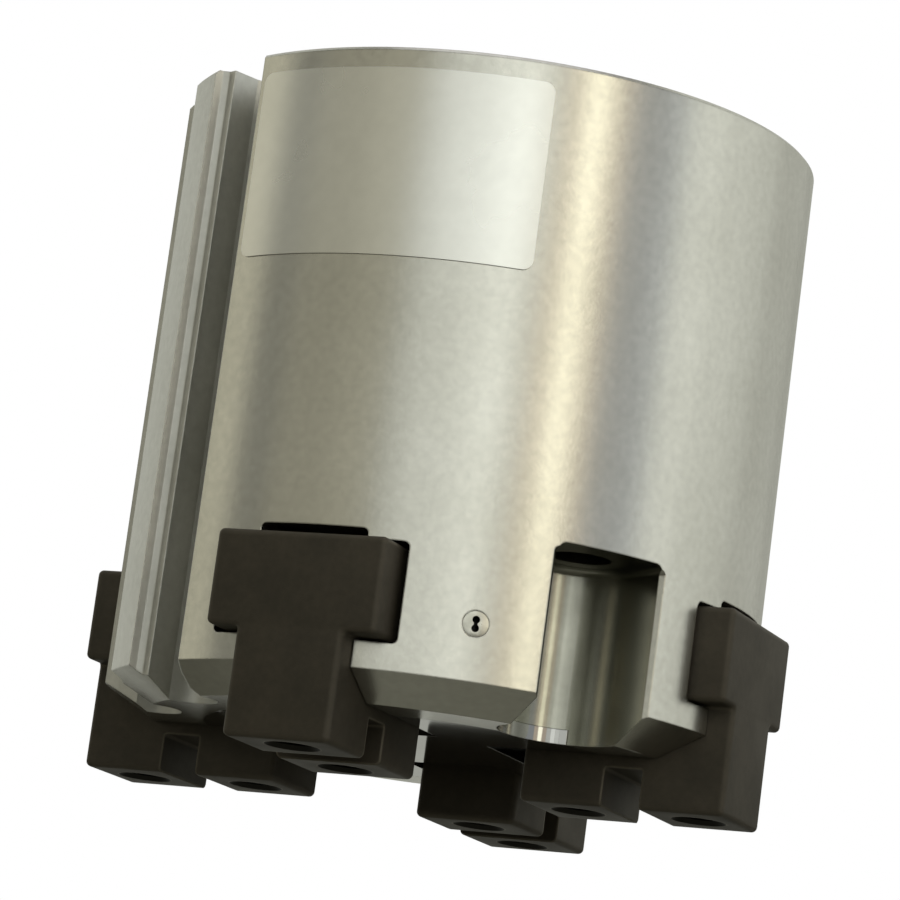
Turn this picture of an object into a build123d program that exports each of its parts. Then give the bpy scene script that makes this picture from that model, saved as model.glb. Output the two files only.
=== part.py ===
from build123d import *
import math
import os

# Four-finger parallel air gripper, 20 mm bore.
# All sizes in mm. The mounting face is z = 0 and the fingers hang towards -Z.
# Finger 1 points to -Y, finger 2 to +X, finger 3 to +Y, finger 4 to -X.

# Housing shell
BODY_D = 36.0
BODY_LEN = 35.2
FINGER_PROUD = 2.8
OVERALL = BODY_LEN + FINGER_PROUD
CHAMFER_AXIAL = 1.45
CHAMFER_RADIAL = 2.6
TOP_BREAK = 0.2

# Clearances, per side, and how far a cut runs past a face
SLIDE_GAP = 0.05
RUN_GAP = 0.05
SEAL_GAP = 0.02
SEAT_GAP = 0.02
LOOSE_GAP = 0.1
OVERRUN = 1.0

# Screws
M3_D = 3.0
M3_HEAD_D = 5.5
M3_HEAD_H = 3.0
M3_HEX = 2.5
M3_HEX_DEPTH = 1.5
M3_CBORE_D = 6.0
M3_TAP_D = 2.5
M3_CLEAR_D = 3.2

# Cylinder bore, measured down from the mounting face
BORE_D = 20.0
PILOT_STEP = 1.0
PILOT_D = BORE_D + 2 * PILOT_STEP
PILOT_DEPTH = 0.7
RING_GROOVE_TOP = 1.4
RING_GROOVE_W = 1.1
RING_SUNK = 0.5
RING_GROOVE_D = BORE_D + 2 * RING_SUNK
RING_WIDE = 1.5
RING_GAP_W = 3.2
RING_EYE_D = 2.6
CAP_TOP = RING_GROOVE_TOP + RING_GROOVE_W
CAP_T = 2.8
CAP_BOTTOM = CAP_TOP + CAP_T
CAP_GASKET_TUBE = 0.45
CAP_GROOVE_W = 1.2
CAP_PULL_DEPTH = 1.6

# Piston, drawn with the fingers open, and the length it gives the cylinder
STROKE = 4.0
STOP_ROOM = 0.3
BUMPER_D = BORE_D * 0.7
BUMPER_BORE_D = BUMPER_D * 0.5
BUMPER_T = 0.9
BUMPER_SUNK = 0.5
BUMPER_BOTTOM = CAP_BOTTOM - BUMPER_SUNK + BUMPER_T
ROD_SPIGOT_H = 2.0
PISTON_WEB = 1.3
PISTON_TOP = BUMPER_BOTTOM + STROKE + 2 * LOOSE_GAP
PISTON_T = M3_HEAD_H + LOOSE_GAP + PISTON_WEB + ROD_SPIGOT_H
PISTON_BOTTOM = PISTON_TOP + PISTON_T
PISTON_SCREW_GRIP = 1.7
PISTON_SCREW_LEN = PISTON_WEB + ROD_SPIGOT_H + PISTON_SCREW_GRIP
CYL_END = PISTON_BOTTOM + STOP_ROOM
WALL_T = 4.0
CHAMBER_TOP = CYL_END + WALL_T
CHAMBER_STEP = 0.5
CHAMBER_D = BORE_D - 2 * CHAMBER_STEP
PISTON_D = BORE_D - 2 * RUN_GAP
SEAL_WALL = 1.7
PISTON_SEAL_OFF = PISTON_T * 0.16
PISTON_SEAL_W = PISTON_T * 0.28
PISTON_SEAL_ROOT = BORE_D - 2 * SEAL_WALL
MAGNET_OFF = PISTON_T * 0.59
MAGNET_W = PISTON_T * 0.23
MAGNET_SUNK = 0.25
MAGNET_WALL = 2.0
MAGNET_D = PISTON_D - 2 * MAGNET_SUNK
MAGNET_ROOT = MAGNET_D - 2 * MAGNET_WALL

# Rod, its seal and its bumper
ROD_D = BORE_D * 0.4
ROD_SPIGOT_D = ROD_D * 0.75
ROD_GASKET_TUBE = 0.4
ROD_GROOVE_W = 0.9
ROD_GROOVE_OFF = 0.5
ROD_TAP_DEPTH = 3.0
SEAL_GROOVE_D = ROD_D + 2 * SEAL_WALL
SEAL_W = WALL_T / 2
SEAL_TOP = CYL_END + WALL_T / 4
SEAL_LIP = 0.45
LOW_BUMPER_D = BORE_D * 0.65
LOW_BUMPER_STEP = 0.7
LOW_BUMPER_BORE_D = ROD_D + 2 * LOW_BUMPER_STEP
LOW_BUMPER_T = 0.8
LOW_BUMPER_PROUD = STOP_ROOM / 2

# Cam and the inclined T joint: the fingers move half as far as the piston
WEDGE_RATIO = 0.5
FINGER_TRAVEL = STROKE * WEDGE_RATIO
CAM_UP = 1.6
CAM_BOTTOM = BODY_LEN - CAM_UP
CAM_TOP = CHAMBER_TOP + STROKE + 2 * LOOSE_GAP
CAM_R = CHAMBER_D / 2 - 2 * LOOSE_GAP
CAM_SPIGOT_H = 1.2
CAM_CBORE_H = M3_HEAD_H + 2 * LOOSE_GAP
CAM_SCREW_LEN = CAM_BOTTOM - CAM_CBORE_H - CAM_TOP + ROD_TAP_DEPTH * 0.6
NECK_W = 2.6
NECK_T = 1.0
TEE_W = 4.8
TEE_T = 1.2

# Fingers, drawn open
FINGER_OVERHANG = 1.2
FINGER_OUT = BODY_D / 2 + FINGER_OVERHANG
FINGER_LEN = 11.8
FINGER_IN = FINGER_OUT - FINGER_LEN
HEAD_W = 9.75
STEM_W = 6.1
HEAD_UP = 3.05
HEAD_H = 5.15
FACE_UP = 2.7
TONGUE_UP = 2.2
HEAD_BOTTOM = BODY_LEN - HEAD_UP
HEAD_TOP = HEAD_BOTTOM - HEAD_H
FACE_Z = BODY_LEN - FACE_UP
TONGUE_BOTTOM = BODY_LEN - TONGUE_UP
END_BLOCK = 4.8
NOTCH_DEPTH = 2.15
FINGER_HOLE_D = 2.5
FINGER_HOLE_SINK_D = 3.3
FINGER_HOLE_DEPTH = 5.4
FINGER_EDGE = 0.3
FINGER_END_EDGE = 0.2

# Finger guides cut in the housing
GUIDE_W = STEM_W + 2 * SLIDE_GAP
GUIDE_STEP = 0.5
TEE_PLAY = 0.15
TEE_SIDE_PLAY = 0.425
TEE_SLOT_W = HEAD_W + 2 * TEE_SIDE_PLAY
TEE_SLOT_TOP = HEAD_TOP - TEE_PLAY
TEE_SLOT_BOTTOM = HEAD_BOTTOM + TEE_PLAY
GUIDE_TOP = TEE_SLOT_TOP - GUIDE_STEP
GUIDE_CORNER = 0.3
GUIDE_START = CHAMBER_D / 2 - 3 * OVERRUN

# Mounting holes with open-sided counterbores
MOUNT_ANGLE = 52.6
MOUNT_INSET = 3.5
MOUNT_PCD = BODY_D - 2 * MOUNT_INSET
MOUNT_HOLE_D = 3.4
MOUNT_CBORE_D = 6.5
MOUNT_CBORE_DEPTH = 9.4
MOUNT_SEAT = BODY_LEN - MOUNT_CBORE_DEPTH
MOUNT_SEAT_R = 0.4
MOUNT_MOUTH = 0.5

# Switch slots: a pair either side of one rib, each a round channel with a mouth that flares away from the rib
SLOT_ANGLE = -46.4
SLOT_D = 3.3
SLOT_CENTRE_IN = 3.15
SLOT_CENTRE_SIDE = 3.15
RIB_HALF = 1.67
RIB_STEP_IN = 0.5
RIB_EDGE_IN = 1.0
RIB_EDGE_SIDE = 2.3
LIP_SIDE = 6.62
LIP_FLARE_IN = 1.8
LIP_FLARE_SIDE = 5.7

# Air ports on the hidden side
PORT_ANGLE = 135.0
PORT_TAP_D = 4.2
PORT_DEPTH = 4.6
PORT_SPOT_DEPTH = 0.4
PORT_FACE_R = BODY_D / 2 - PORT_SPOT_DEPTH
PORT_SPOT_D = 8.0
PORT_PASS_D = 1.2
PORT_UPPER = CAP_BOTTOM + PORT_PASS_D / 2 + LOOSE_GAP
PORT_LOWER = CYL_END - PORT_PASS_D / 2 + LOOSE_GAP

# End plate under the fingers
PLATE_RIM = 2.7
PLATE_D = CHAMBER_D + 2 * PLATE_RIM
PLATE_T = 0.8
PLATE_HUB = 5.2
PLATE_SCREW_R = (CHAMBER_D + PLATE_D) / 4
PLATE_SCREW_ANGLES = (135.0, -45.0)
PLATE_SCREW_D = 1.6
PLATE_HEAD_D = 2.4
PLATE_HEAD_H = 0.6
PLATE_SCREW_LEN = 3.4
PLATE_SLIT = 0.4

# Side pin and label
PIN_ANGLE = 29.7
PIN_UP = 4.5
PIN_Z = BODY_LEN - PIN_UP
PIN_D = 1.4
PIN_LEN = 3.0
PIN_SUNK = 0.03
PIN_SLOT_LEN = 0.86
PIN_SLOT_W = 0.2
PIN_SLOT_END_D = 0.4
PIN_SLOT_DEPTH = 0.57
LABEL_T = 0.08
LABEL_START_ANGLE = -23.6
LABEL_END_ANGLE = 31.4
LABEL_TOP = 1.2
LABEL_H = 10.4
LABEL_CORNER = 0.8

RADIUS = BODY_D / 2
FINGER_ANGLES = (-90.0, 0.0, 90.0, 180.0)


def drum(dia, top, bottom):
    """A cylinder on the gripper axis between two depths below the mounting face."""
    return Pos(0, 0, -bottom) * Cylinder(dia / 2, bottom - top, align=(Align.CENTER, Align.CENTER, Align.MIN))


def ring(outer, inner, top, bottom):
    return drum(outer, top, bottom) - drum(inner, top - OVERRUN, bottom + OVERRUN)


def slab(x0, x1, width, top, bottom):
    """A block from radius x0 to x1 along +X, centred on the X axis."""
    block = Box(x1 - x0, width, bottom - top)
    return Pos((x0 + x1) / 2, 0, -(top + bottom) / 2) * block


def turned(angle, shape):
    """Turn a shape built along +X so that it points to an angle from -Y towards +X."""
    return Rot(0, 0, angle - 90) * shape


def at_radius(radius, top, bottom, dia):
    return Pos(radius, 0, 0) * drum(dia, top, bottom)


def face_radius(depth):
    """Radius of the finger's inclined inner face at a depth."""
    return FINGER_IN + (FACE_Z - depth) * WEDGE_RATIO


def incline(inner_off, outer_off, width, top, bottom):
    """A bar that follows the inclined face, between two radial offsets from it."""
    points = [
        (face_radius(top) + inner_off, -top),
        (face_radius(top) + outer_off, -top),
        (face_radius(bottom) + outer_off, -bottom),
        (face_radius(bottom) + inner_off, -bottom),
    ]
    profile = Plane.XZ * Polygon(*points, align=None)
    return extrude(profile, amount=width / 2, both=True)


def housing_blank():
    """Turned outside with the shallow chamfer round the finger end."""
    points = [
        (0, 0),
        (RADIUS - TOP_BREAK, 0),
        (RADIUS, -TOP_BREAK),
        (RADIUS, -(BODY_LEN - CHAMFER_AXIAL)),
        (RADIUS - CHAMFER_RADIAL, -BODY_LEN),
        (0, -BODY_LEN),
    ]
    return revolve(Plane.XZ * Polygon(*points, align=None), Axis.Z)


def housing_bores():
    """Everything turned from the inside, from the mounting face down."""
    cut = drum(BORE_D, -OVERRUN, CYL_END)
    cut += drum(PILOT_D, -OVERRUN, PILOT_DEPTH)
    cut += drum(RING_GROOVE_D, RING_GROOVE_TOP, CAP_TOP)
    cut += drum(ROD_D + 2 * RUN_GAP, CYL_END - OVERRUN, CHAMBER_TOP + OVERRUN)
    cut += drum(SEAL_GROOVE_D, SEAL_TOP, SEAL_TOP + SEAL_W)
    cut += drum(CHAMBER_D, CHAMBER_TOP, BODY_LEN + OVERRUN)
    cut += drum(PLATE_D, BODY_LEN - PLATE_T, BODY_LEN + OVERRUN)
    return cut


def finger_guide():
    """T-shaped guide for one finger, open to the outside and to the cam chamber."""
    tee = slab(GUIDE_START, RADIUS + OVERRUN, TEE_SLOT_W, TEE_SLOT_TOP, TEE_SLOT_BOTTOM)
    tee = fillet(tee.edges().filter_by(Axis.X), GUIDE_CORNER)
    stem = slab(GUIDE_START, RADIUS + OVERRUN, GUIDE_W, GUIDE_TOP, BODY_LEN + OVERRUN)
    stem = chamfer(stem.edges().filter_by(Axis.X).group_by(Axis.Z)[-1], GUIDE_CORNER)
    return tee + stem


def mount_cut():
    """Through hole, open-sided counterbore and its small mouth step for one mounting screw."""
    seat_r = MOUNT_PCD / 2
    cut = at_radius(seat_r, -OVERRUN, MOUNT_SEAT + OVERRUN, MOUNT_HOLE_D)
    bore = at_radius(seat_r, MOUNT_SEAT, BODY_LEN + OVERRUN, MOUNT_CBORE_D)
    bore += slab(seat_r, RADIUS + OVERRUN, MOUNT_CBORE_D, MOUNT_SEAT, BODY_LEN + OVERRUN)
    ceiling = bore.edges().group_by(Axis.Z)[-1].filter_by(lambda e: e.center().X < RADIUS)
    bore = fillet(ceiling, MOUNT_SEAT_R)
    small = MOUNT_HOLE_D / 2
    mouth = Pos(seat_r, 0, -MOUNT_MOUTH / 2) * Cone(small, small + MOUNT_MOUTH, MOUNT_MOUTH)
    return cut + bore + mouth


def switch_slot(side):
    """One slot; side is +1 or -1 from the rib. Its section is drawn outwards and to the side."""
    centre = (RADIUS - SLOT_CENTRE_IN, side * SLOT_CENTRE_SIDE)
    rib_side = SLOT_CENTRE_SIDE - SLOT_D / 2
    lip_side = SLOT_CENTRE_SIDE + SLOT_D / 2
    lip = math.sqrt(RADIUS**2 - LIP_SIDE**2)
    mouth = [
        (centre[0], rib_side),
        (RADIUS - RIB_EDGE_IN - (RIB_EDGE_SIDE - rib_side) * 2, rib_side),
        (RADIUS - RIB_EDGE_IN, RIB_EDGE_SIDE),
        (RADIUS - (RIB_STEP_IN + RIB_EDGE_IN) * 0.57, RIB_HALF * 1.1),
        (RADIUS - RIB_STEP_IN, RIB_HALF),
        (RADIUS + OVERRUN, RIB_HALF),
        (RADIUS + OVERRUN, LIP_SIDE + OVERRUN),
        (lip, LIP_SIDE),
        (RADIUS - LIP_FLARE_IN, LIP_FLARE_SIDE),
        (centre[0] + SLOT_D * 0.14, lip_side),
        (centre[0], lip_side),
    ]
    section = make_face(Polyline(*[(x, side * y) for x, y in mouth], close=True))
    section += Pos(*centre) * Circle(SLOT_D / 2)
    return Pos(0, 0, -BODY_LEN - OVERRUN) * extrude(section, amount=BODY_LEN + 2 * OVERRUN)


def port_cut(depth):
    """Tapped air port with a flat spot face and a small passage into the cylinder."""
    along = Pos(0, 0, -depth) * Rot(0, 90, 0)
    up = (Align.CENTER, Align.CENTER, Align.MIN)
    floor = PORT_FACE_R - PORT_DEPTH
    inner = BORE_D / 2 - OVERRUN
    spot = along * Pos(0, 0, PORT_FACE_R) * Cylinder(PORT_SPOT_D / 2, RADIUS - PORT_FACE_R + OVERRUN, align=up)
    tapped = along * Pos(0, 0, floor) * Cylinder(PORT_TAP_D / 2, PORT_DEPTH + OVERRUN, align=up)
    passage = along * Pos(0, 0, inner) * Cylinder(PORT_PASS_D / 2, floor - inner + OVERRUN / 2, align=up)
    return spot + tapped + passage


def plate_screw_places():
    return [turned(angle, Pos(PLATE_SCREW_R, 0, 0)) for angle in PLATE_SCREW_ANGLES]


def make_body():
    body = housing_blank() - housing_bores()
    for angle in FINGER_ANGLES:
        body -= Rot(0, 0, angle) * finger_guide()
    for angle in (MOUNT_ANGLE, MOUNT_ANGLE + 180):
        body -= turned(angle, mount_cut())
    for side in (1, -1):
        body -= turned(SLOT_ANGLE, switch_slot(side))
    for depth in (PORT_UPPER, PORT_LOWER):
        body -= turned(PORT_ANGLE, port_cut(depth))
    for place in plate_screw_places():
        body -= place * drum(PLATE_SCREW_D + 2 * SEAT_GAP, BODY_LEN - PLATE_T - PLATE_SCREW_LEN, BODY_LEN)
    pin_hole = Cylinder(PIN_D / 2 + SEAT_GAP, PIN_LEN + OVERRUN, align=(Align.CENTER, Align.CENTER, Align.MIN))
    return body - pin_place() * pin_hole


def make_cap():
    """Disc that closes the cylinder, with a gasket groove and a pocket for the bumper."""
    middle = (CAP_TOP + CAP_BOTTOM) / 2
    groove_d = BORE_D - 4 * CAP_GASKET_TUBE
    cap = drum(BORE_D - 2 * SEAT_GAP, CAP_TOP, CAP_BOTTOM)
    cap = chamfer(cap.edges().filter_by(GeomType.CIRCLE), TOP_BREAK)
    cap -= ring(BORE_D + OVERRUN, groove_d, middle - CAP_GROOVE_W / 2, middle + CAP_GROOVE_W / 2)
    cap -= drum(BUMPER_D + 2 * SEAT_GAP, CAP_BOTTOM - BUMPER_SUNK, CAP_BOTTOM + OVERRUN)
    cap -= drum(M3_TAP_D, CAP_TOP - OVERRUN, CAP_TOP + CAP_PULL_DEPTH)
    return cap


def make_cap_gasket():
    """Round-section gasket in the cap's groove."""
    return Pos(0, 0, -(CAP_TOP + CAP_BOTTOM) / 2) * Torus(BORE_D / 2 - CAP_GASKET_TUBE, CAP_GASKET_TUBE)


def make_snap_ring():
    """Inner retaining ring with two pliers eyes and a gap at +Y."""
    top = RING_GROOVE_TOP + 2 * SEAT_GAP
    bottom = CAP_TOP
    eye_y = BORE_D / 2 - RING_EYE_D * 0.75
    eye_x = RING_GAP_W / 2 + RING_EYE_D / 2
    part = ring(RING_GROOVE_D - 2 * SEAT_GAP, BORE_D - 2 * RING_WIDE, top, bottom)
    part -= Pos(0, BORE_D / 2, -(top + bottom) / 2) * Box(RING_GAP_W, 4 * RING_WIDE, bottom - top + OVERRUN)
    for side in (-1, 1):
        part += Pos(side * eye_x, eye_y, 0) * drum(RING_EYE_D, top, bottom)
    for side in (-1, 1):
        part -= Pos(side * eye_x, eye_y, 0) * drum(RING_EYE_D / 2, top - OVERRUN, bottom + OVERRUN)
    return part


def make_bumper():
    return ring(BUMPER_D, BUMPER_BORE_D, BUMPER_BOTTOM - BUMPER_T, BUMPER_BOTTOM)


def make_rod_seal():
    """Lip seal round the rod, seated in the groove of the partition wall."""
    top = SEAL_TOP + SEAT_GAP
    bottom = SEAL_TOP + SEAL_W - SEAT_GAP
    seal = ring(SEAL_GROOVE_D - 2 * SEAT_GAP, ROD_D + 2 * SEAL_GAP, top, bottom)
    lip = ring(SEAL_GROOVE_D - 2 * SEAL_LIP, ROD_D + 2 * SEAL_LIP, top - OVERRUN, top + SEAL_W * 0.4)
    return seal - lip


def make_end_plate():
    """Thin plate under the cam chamber, slotted for the four fingers."""
    top = BODY_LEN - PLATE_T
    plate = drum(PLATE_D - 2 * SEAT_GAP, top, BODY_LEN)
    for angle in FINGER_ANGLES:
        plate -= Rot(0, 0, angle) * slab(PLATE_HUB, RADIUS, GUIDE_W, top - OVERRUN, BODY_LEN + OVERRUN)
    for angle in (MOUNT_ANGLE, MOUNT_ANGLE + 180):
        plate -= turned(angle, at_radius(MOUNT_PCD / 2, top - OVERRUN, BODY_LEN + OVERRUN, MOUNT_CBORE_D))
    for place in plate_screw_places():
        plate -= place * drum(PLATE_SCREW_D + 2 * SEAT_GAP, top - OVERRUN, BODY_LEN + OVERRUN)
        plate -= place * screw_sink(PLATE_HEAD_D + 2 * SEAT_GAP, PLATE_HEAD_H, SEAT_GAP)
    return plate


def screw_sink(dia, height, gap):
    """Cone of a countersunk head that ends flush with the plate's lower face."""
    small = dia / 2 - height + gap
    cone = Cone(dia / 2, small, height, align=(Align.CENTER, Align.CENTER, Align.MIN))
    return Pos(0, 0, -BODY_LEN) * cone


def make_plate_screws():
    """Two countersunk screws that hold the end plate."""
    screws = []
    for place in plate_screw_places():
        screw = screw_sink(PLATE_HEAD_D, PLATE_HEAD_H, 0)
        screw += drum(PLATE_SCREW_D, BODY_LEN - PLATE_SCREW_LEN, BODY_LEN - PLATE_HEAD_H / 2)
        screw -= Pos(0, 0, -BODY_LEN) * Box(PLATE_HEAD_D * 0.8, PLATE_SLIT, PLATE_HEAD_H * 0.8)
        screws.append(place * screw)
    return Compound(children=screws)


def pin_place():
    """Inner end of the side pin's hole, with +Z pointing outwards."""
    inner = RADIUS - PIN_SUNK - PIN_LEN
    return Rot(0, 0, PIN_ANGLE - 90) * Pos(inner, 0, -PIN_Z) * Rot(0, 90, 0)


def make_side_pin():
    """Pin pressed flush into the housing, with a narrow slot whose ends are drilled."""
    pin = Cylinder(PIN_D / 2, PIN_LEN, align=(Align.CENTER, Align.CENTER, Align.MIN))
    slot = Box(PIN_SLOT_LEN - PIN_SLOT_END_D, PIN_SLOT_W, 2 * PIN_SLOT_DEPTH)
    for side in (-1, 1):
        drilled = Cylinder(PIN_SLOT_END_D / 2, 2 * PIN_SLOT_DEPTH)
        slot += Pos(side * (PIN_SLOT_LEN - PIN_SLOT_END_D) / 2, 0, 0) * drilled
    return pin_place() * (pin - Pos(0, 0, PIN_LEN) * slot)


def make_label():
    """Thin label film wrapped on the housing, with rounded corners and nothing on it."""
    half = math.radians(LABEL_END_ANGLE - LABEL_START_ANGLE) / 2
    film = ring(BODY_D + 2 * LABEL_T, BODY_D, LABEL_TOP, LABEL_TOP + LABEL_H)
    window = Plane.YZ * RectangleRounded(BODY_D * math.sin(half), LABEL_H, LABEL_CORNER)
    window = Pos(0, 0, -LABEL_TOP - LABEL_H / 2) * extrude(window, amount=RADIUS + OVERRUN)
    return turned((LABEL_START_ANGLE + LABEL_END_ANGLE) / 2, film & window)


def make_piston():
    """Piston with a seal groove, a magnet groove, a screw pocket and a bumper pocket."""
    piston = drum(PISTON_D, PISTON_TOP, PISTON_BOTTOM)
    piston = chamfer(piston.edges().filter_by(GeomType.CIRCLE), TOP_BREAK)
    seal = PISTON_TOP + PISTON_SEAL_OFF
    piston -= ring(BORE_D + OVERRUN, PISTON_SEAL_ROOT, seal, seal + PISTON_SEAL_W)
    magnet = PISTON_TOP + MAGNET_OFF
    piston -= ring(BORE_D + OVERRUN, MAGNET_ROOT, magnet, magnet + MAGNET_W)
    piston -= drum(M3_CBORE_D, PISTON_TOP - OVERRUN, PISTON_TOP + M3_HEAD_H + LOOSE_GAP)
    piston -= drum(M3_CLEAR_D, PISTON_TOP, PISTON_BOTTOM + OVERRUN)
    piston -= drum(ROD_SPIGOT_D + 2 * SEAT_GAP, PISTON_BOTTOM - ROD_SPIGOT_H, PISTON_BOTTOM + OVERRUN)
    low = LOW_BUMPER_T - LOW_BUMPER_PROUD
    bumper_d = LOW_BUMPER_D + 2 * SEAT_GAP
    piston -= ring(bumper_d, LOW_BUMPER_BORE_D - 2 * SEAT_GAP, PISTON_BOTTOM - low, PISTON_BOTTOM + OVERRUN)
    return piston


def make_piston_seal():
    """X-section style seal ring, slightly hollow on its outer face."""
    top = PISTON_TOP + PISTON_SEAL_OFF + SEAT_GAP
    bottom = top + PISTON_SEAL_W - 2 * SEAT_GAP
    seal = ring(BORE_D - 2 * SEAL_GAP, PISTON_SEAL_ROOT + 2 * SEAT_GAP, top, bottom)
    third = (bottom - top) / 3
    return seal - ring(BORE_D + OVERRUN, BORE_D - SEAL_WALL / 3, top + third, bottom - third)


def make_magnet_ring():
    top = PISTON_TOP + MAGNET_OFF + SEAT_GAP
    return ring(MAGNET_D, MAGNET_ROOT + 2 * SEAT_GAP, top, top + MAGNET_W - 2 * SEAT_GAP)


def make_low_bumper():
    bottom = PISTON_BOTTOM + LOW_BUMPER_PROUD
    return ring(LOW_BUMPER_D, LOW_BUMPER_BORE_D, bottom - LOW_BUMPER_T, bottom)


def make_rod():
    """Rod between piston and cam, with a spigot and a tapped hole at each end."""
    spigot_top = PISTON_BOTTOM - ROD_SPIGOT_H
    spigot_end = CAM_TOP + CAM_SPIGOT_H
    groove = PISTON_BOTTOM - ROD_GROOVE_OFF
    rod = drum(ROD_D, PISTON_BOTTOM, CAM_TOP)
    rod += drum(ROD_SPIGOT_D, spigot_top, PISTON_BOTTOM)
    rod += drum(ROD_SPIGOT_D, CAM_TOP, spigot_end)
    rod -= ring(ROD_SPIGOT_D + OVERRUN, ROD_SPIGOT_D - 4 * ROD_GASKET_TUBE, groove - ROD_GROOVE_W, groove)
    rod -= drum(M3_D + 2 * SEAT_GAP, spigot_top - OVERRUN, PISTON_BOTTOM + ROD_TAP_DEPTH)
    rod -= drum(M3_D + 2 * SEAT_GAP, CAM_TOP - ROD_TAP_DEPTH, spigot_end + OVERRUN)
    return rod


def make_rod_gasket():
    """Small gasket between the rod's spigot and the piston."""
    depth = PISTON_BOTTOM - ROD_GROOVE_OFF - ROD_GROOVE_W / 2
    return Pos(0, 0, -depth) * Torus(ROD_SPIGOT_D / 2 - ROD_GASKET_TUBE, ROD_GASKET_TUBE)


def socket_screw(length):
    """M3 socket screw with its head's seat at z = 0 and its shank towards +Z."""
    up = (Align.CENTER, Align.CENTER, Align.MIN)
    down = (Align.CENTER, Align.CENTER, Align.MAX)
    screw = Cylinder(M3_D / 2, length, align=up)
    head = Cylinder(M3_HEAD_D / 2, M3_HEAD_H, align=down)
    head = chamfer(head.edges().filter_by(GeomType.CIRCLE).group_by(Axis.Z)[0], TOP_BREAK)
    socket = extrude(RegularPolygon(M3_HEX / 2, 6, major_radius=False), amount=M3_HEX_DEPTH)
    return screw + head - Pos(0, 0, -M3_HEAD_H) * socket


def make_piston_screw():
    seat = PISTON_TOP + M3_HEAD_H + LOOSE_GAP
    return Pos(0, 0, -seat) * Rot(180, 0, 0) * socket_screw(PISTON_SCREW_LEN)


def make_cam_screw():
    return Pos(0, 0, -(CAM_BOTTOM - CAM_CBORE_H)) * socket_screw(CAM_SCREW_LEN)


def make_cam():
    """Wedge with four inclined faces, each with a T slot that carries one finger."""
    gap = SLIDE_GAP
    top_side = 2 * (face_radius(CAM_TOP) - gap)
    low_side = 2 * (face_radius(CAM_BOTTOM) - gap)
    upper = Plane(origin=(0, 0, -CAM_TOP)) * Rectangle(top_side, top_side)
    lower = Plane(origin=(0, 0, -CAM_BOTTOM)) * Rectangle(low_side, low_side)
    cam = loft([lower.face(), upper.face()], ruled=True)
    cam = cam & drum(2 * CAM_R, CAM_TOP - OVERRUN, CAM_BOTTOM + OVERRUN)
    start = HEAD_TOP - LOOSE_GAP
    end = CAM_BOTTOM + OVERRUN
    neck = incline(-NECK_T - gap, NECK_T, NECK_W + 2 * gap, start, end)
    tee = incline(-NECK_T - TEE_T - gap, -NECK_T + gap, TEE_W + 2 * gap, start, end)
    for angle in FINGER_ANGLES:
        cam -= Rot(0, 0, angle) * (neck + tee)
    cam -= drum(ROD_SPIGOT_D + 2 * SEAT_GAP, CAM_TOP - OVERRUN, CAM_TOP + CAM_SPIGOT_H)
    cam -= drum(M3_CLEAR_D, CAM_TOP - OVERRUN, CAM_BOTTOM + OVERRUN)
    cam -= drum(M3_CBORE_D, CAM_BOTTOM - CAM_CBORE_H, CAM_BOTTOM + OVERRUN)
    return cam


def finger_head():
    """The T head that the guide holds, drawn past the inclined face that later trims it."""
    head = slab(FINGER_IN - OVERRUN, FINGER_OUT, HEAD_W, HEAD_TOP, HEAD_BOTTOM)
    head = fillet(head.edges().filter_by(Axis.Z).group_by(Axis.X)[-1], FINGER_EDGE)
    return fillet(head.edges().filter_by(Axis.X), GUIDE_CORNER)


def finger_stem():
    """The stem that comes out of the housing, notched into two end blocks."""
    notch_out = FINGER_OUT - END_BLOCK
    notch_in = FINGER_IN + END_BLOCK
    stem = slab(FINGER_IN, FINGER_OUT, STEM_W, HEAD_BOTTOM - OVERRUN, OVERALL)
    stem = fillet(stem.edges().filter_by(Axis.Z), FINGER_EDGE)
    stem -= slab(notch_in, notch_out, STEM_W + OVERRUN, OVERALL - NOTCH_DEPTH, OVERALL + OVERRUN)
    return fillet(stem.edges().group_by(Axis.Z)[0], FINGER_END_EDGE)


def finger_holes():
    """Tapped hole with a small countersink in the middle of each end block."""
    up = (Align.CENTER, Align.CENTER, Align.MIN)
    depth = (FINGER_HOLE_SINK_D - FINGER_HOLE_D) / 2
    sink = Cone(FINGER_HOLE_SINK_D / 2, FINGER_HOLE_D / 2, depth, align=up)
    holes = []
    for place in (FINGER_OUT - END_BLOCK / 2, FINGER_IN + END_BLOCK / 2):
        holes.append(at_radius(place, OVERALL - FINGER_HOLE_DEPTH, OVERALL + OVERRUN, FINGER_HOLE_D))
        holes.append(Pos(place, 0, -OVERALL) * sink)
    return holes


def make_finger():
    """One finger along +X: guided head, stem with two drilled end blocks, inclined T tongue."""
    finger = finger_head() + finger_stem()
    finger -= incline(-HEAD_W, 0, HEAD_W + OVERRUN, HEAD_TOP - OVERRUN, FACE_Z + OVERRUN / 2)
    for hole in finger_holes():
        finger -= hole
    finger += incline(-NECK_T, NECK_T / 2, NECK_W, HEAD_TOP, TONGUE_BOTTOM)
    return finger + incline(-NECK_T - TEE_T, -NECK_T, TEE_W, HEAD_TOP, TONGUE_BOTTOM)


def save(name, shape):
    shape.label = name
    export_step(shape, os.path.join("parts", name + ".step"))


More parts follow.
